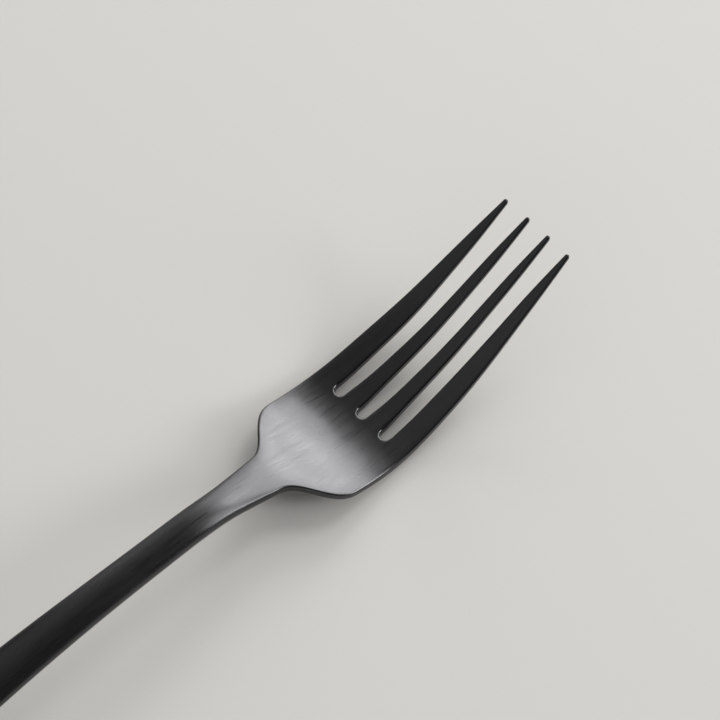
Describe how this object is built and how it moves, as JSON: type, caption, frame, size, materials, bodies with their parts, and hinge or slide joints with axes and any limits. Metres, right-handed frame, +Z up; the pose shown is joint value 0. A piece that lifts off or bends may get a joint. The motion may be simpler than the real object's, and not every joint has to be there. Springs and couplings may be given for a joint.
{
  "type": "dinner fork",
  "caption": "Slim four-tined dinner fork with a waisted neck, square shoulders and a long widening handle, in dark satin steel.",
  "frame": {"origin": "centre of the footprint, on the table that the fork lies on", "axes": "+X along the fork towards the tine tips, +Y to the left seen from the handle, +Z up, face of the fork upwards"},
  "size_m": [0.205, 0.026, 0.0217],
  "materials": {
    "steel": "dark satin, brushed along the fork"
  },
  "bodies": {
    "root": {"handle": "steel", "neck": "steel", "head": "steel", "tine_outer_left": "steel", "tine_inner_left": "steel", "tine_inner_right": "steel", "tine_outer_right": "steel"}
  },
  "joints": []
}
